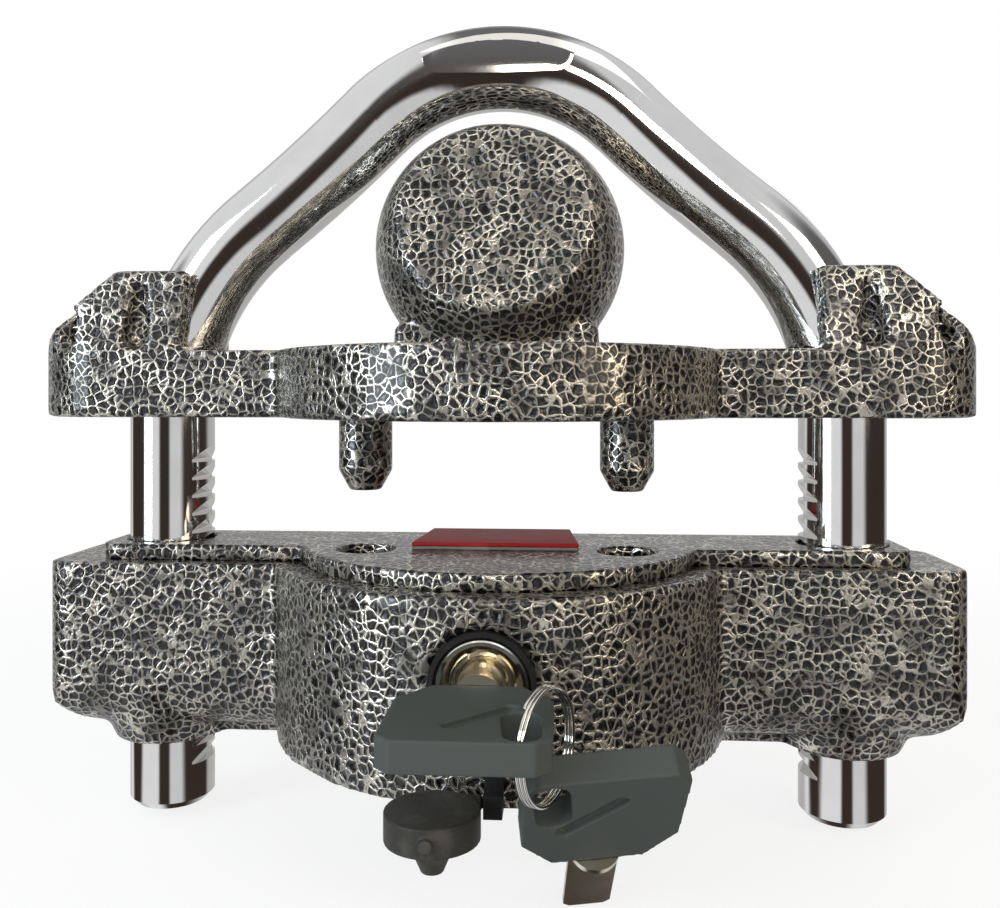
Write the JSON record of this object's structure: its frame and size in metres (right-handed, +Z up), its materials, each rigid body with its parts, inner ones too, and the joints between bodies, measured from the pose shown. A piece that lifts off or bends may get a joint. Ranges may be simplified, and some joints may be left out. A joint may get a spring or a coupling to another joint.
{
  "type": "trailer coupler lock",
  "caption": "Universal trailer coupler lock: a ball plate fills the coupler, a bent shackle passes over it and a keyed housing ratchets up its toothed legs.",
  "frame": {"origin": "centre of the ball", "axes": "+Z up through the ball towards the shackle's apex, -Y towards the key, +X along the plate to the right seen from the key"},
  "size_m": [0.176, 0.0916, 0.151],
  "materials": {
    "hammer_plate": "hammertone enamel, gloss",
    "chrome_bar": "bright chrome plate",
    "hammer_body": "hammertone enamel, gloss",
    "bright_lock": "bright nickel plate",
    "steel": "turned steel",
    "lock_brass": "machined brass",
    "red_pad": "red rubber",
    "rubber": "moulded grey-black rubber",
    "key_plastic": "moulded black plastic",
    "key_steel": "yellow-passivated steel"
  },
  "bodies": {
    "ball_plate": {"ball_plate": "hammer_plate", "guide_pins": "hammer_plate"},
    "shackle": {"shackle": "chrome_bar"},
    "lock_body": {"lock_housing": "hammer_body", "top_cover": "hammer_body", "cover_screws": "steel", "top_pad": "red_pad", "lock_cylinder": "bright_lock", "cylinder_pin": "steel", "cap_retainer": "rubber"},
    "plug": {"lock_plug": "lock_brass", "lock_discs": "lock_brass", "sidebar": "steel", "plug_cam": "steel", "cam_clip": "steel"},
    "bolt_left": {"bolt_left": "steel", "bolt_spring_left": "steel"},
    "bolt_right": {"bolt_right": "steel", "bolt_spring_right": "steel"},
    "key": {"key_blade": "key_steel", "key_head": "key_plastic"},
    "split_ring": {"split_ring": "bright_lock"},
    "spare_key": {"spare_key_blade": "key_steel", "spare_key_head": "key_plastic"},
    "dust_cap": {"dust_cap": "rubber"}
  },
  "joints": [
    {"name": "shackle_slide", "type": "slide", "parent": "ball_plate", "child": "shackle", "axis": [0, 0, 1], "range_m": [0, 0.0102]},
    {"name": "housing_slide", "type": "slide", "parent": "ball_plate", "child": "lock_body", "axis": [0, 0, 1], "range_m": [-0.0136, 0.0204]},
    {"name": "plug_turn", "type": "hinge", "parent": "lock_body", "child": "plug", "pos_m": [0, 0, -0.0715], "axis": [0, -1, 0], "range_deg": [0, 90]},
    {"name": "bolt_right_slide", "type": "slide", "parent": "lock_body", "child": "bolt_right", "axis": [1, 0, 0], "range_m": [0, 0.0021], "deforming": ["bolt_spring_right"]},
    {"name": "bolt_left_slide", "type": "slide", "parent": "lock_body", "child": "bolt_left", "axis": [-1, 0, 0], "range_m": [0, 0.0021], "deforming": ["bolt_spring_left"]},
    {"name": "key_pull", "type": "slide", "parent": "plug", "child": "key", "axis": [0, -1, 0], "range_m": [0, 0.022]},
    {"name": "ring_swing", "type": "hinge", "parent": "key", "child": "split_ring", "pos_m": [0.0073, -0.0682, -0.0715], "axis": [0.9292, -0.3697, 0], "range_deg": [-6, 0]},
    {"name": "spare_swing", "type": "hinge", "parent": "split_ring", "child": "spare_key", "pos_m": [0.01074, -0.05956, -0.0803], "axis": [0.3544, 0.8909, 0.284], "range_deg": [-6, 6]},
    {"name": "cap_swing", "type": "hinge", "parent": "lock_body", "child": "dust_cap", "pos_m": [0, -0.0449, -0.0878], "axis": [-1, 0, 0], "range_deg": [0, 25]}
  ],
  "couplings": [
    {"joint": "plug_turn", "follows": "bolt_right_slide", "rad_per_m": 748},
    {"joint": "bolt_left_slide", "follows": "bolt_right_slide", "ratio": 1}
  ]
}
